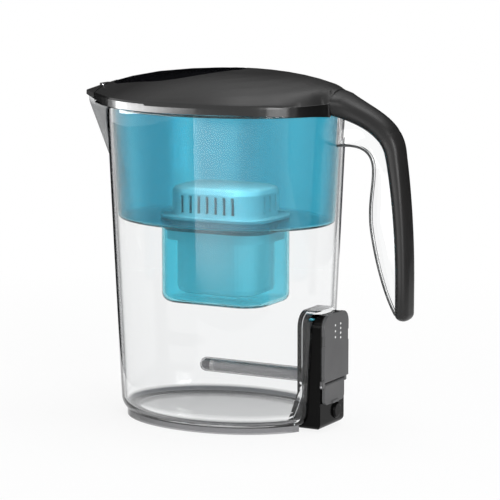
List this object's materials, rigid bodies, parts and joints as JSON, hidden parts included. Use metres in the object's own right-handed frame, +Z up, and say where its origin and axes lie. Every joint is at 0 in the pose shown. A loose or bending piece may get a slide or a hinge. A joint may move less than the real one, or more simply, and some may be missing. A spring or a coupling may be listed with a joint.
{
  "type": "water filter pitcher",
  "caption": "Clear oval water filter pitcher with hook handle, blue hopper with a cartridge, black lid with a flip flap, and an ultraviolet lamp unit low at the rear.",
  "frame": {"origin": "centre of the foot ring on the table", "axes": "+Z up, +X towards the handle, -X towards the spout, Y across the jug's narrow way"},
  "size_m": [0.2763, 0.1486, 0.266],
  "materials": {
    "clear_jug": "clear",
    "dark_rubber": "matt",
    "black_grip": "satin",
    "blue_hopper": "translucent",
    "white_plastic": "translucent",
    "white_cap": "translucent",
    "seal_rubber": "matt",
    "carbon_media": "granular",
    "screen_mesh": "woven",
    "black_lid": "satin",
    "gloss_black": "gloss",
    "black_pour_flap": "satin",
    "pin_steel": "brushed",
    "grey_cover": "satin",
    "quartz": "clear",
    "lamp_glass": "frosted",
    "tip_metal": "satin",
    "black_gland": "satin",
    "board_green": "satin",
    "battery_wrap": "satin",
    "light_pipe": "gloss",
    "port_steel": "brushed"
  },
  "bodies": {
    "jug": {"jug_body": "clear_jug", "foot_ring": "dark_rubber", "handle_cover": "black_grip", "lamp_housing": "gloss_black", "housing_gasket": "seal_rubber", "lamp_cover": "grey_cover", "lamp_sleeve": "quartz", "lamp_tube": "lamp_glass", "lamp_tip_cap": "tip_metal", "lamp_gland": "black_gland", "gland_seal": "seal_rubber", "circuit_board": "board_green", "battery_cell": "battery_wrap", "button_spring": "pin_steel", "indicator_lights": "light_pipe", "charge_port": "port_steel", "door_hinge_pin": "pin_steel"},
    "hopper": {"hopper": "blue_hopper"},
    "cartridge": {"cartridge_shell": "white_plastic", "cartridge_cap": "white_cap", "cartridge_seal": "seal_rubber", "filter_media": "carbon_media", "outlet_screen": "screen_mesh"},
    "lid": {"lid_shell": "black_lid", "flap_hinge_pin": "pin_steel", "pour_flap_pin": "pin_steel"},
    "fill_flap": {"fill_flap": "gloss_black"},
    "pour_flap": {"pour_flap": "black_pour_flap"},
    "port_door": {"port_door": "grey_cover"},
    "power_button": {"power_button": "gloss_black"}
  },
  "joints": [
    {"name": "hopper_lift", "type": "slide", "parent": "jug", "child": "hopper", "axis": [0, 0, 1], "range_m": [0, 0.16]},
    {"name": "cartridge_lift", "type": "slide", "parent": "hopper", "child": "cartridge", "axis": [0, 0, 1], "range_m": [0, 0.05]},
    {"name": "lid_lift", "type": "slide", "parent": "hopper", "child": "lid", "axis": [0, 0, 1], "range_m": [0, 0.06]},
    {"name": "fill_flap_hinge", "type": "hinge", "parent": "lid", "child": "fill_flap", "pos_m": [0.0124, 0, 0.26408], "axis": [0, 1, 0], "range_deg": [0, 80]},
    {"name": "pour_flap_hinge", "type": "hinge", "parent": "lid", "child": "pour_flap", "pos_m": [-0.1023, 0, 0.25032], "axis": [0, 1, 0], "range_deg": [0, 35]},
    {"name": "port_door_hinge", "type": "hinge", "parent": "jug", "child": "port_door", "pos_m": [0.0926, -0.003, 0.0355], "axis": [0, -1, 0], "range_deg": [0, 90]},
    {"name": "power_button_press", "type": "slide", "parent": "jug", "child": "power_button", "axis": [-1, 0, 0], "range_m": [0, 0.0012], "stiffness_N_per_m": 400, "springref_m": -0.002, "deforming": ["button_spring"]}
  ]
}
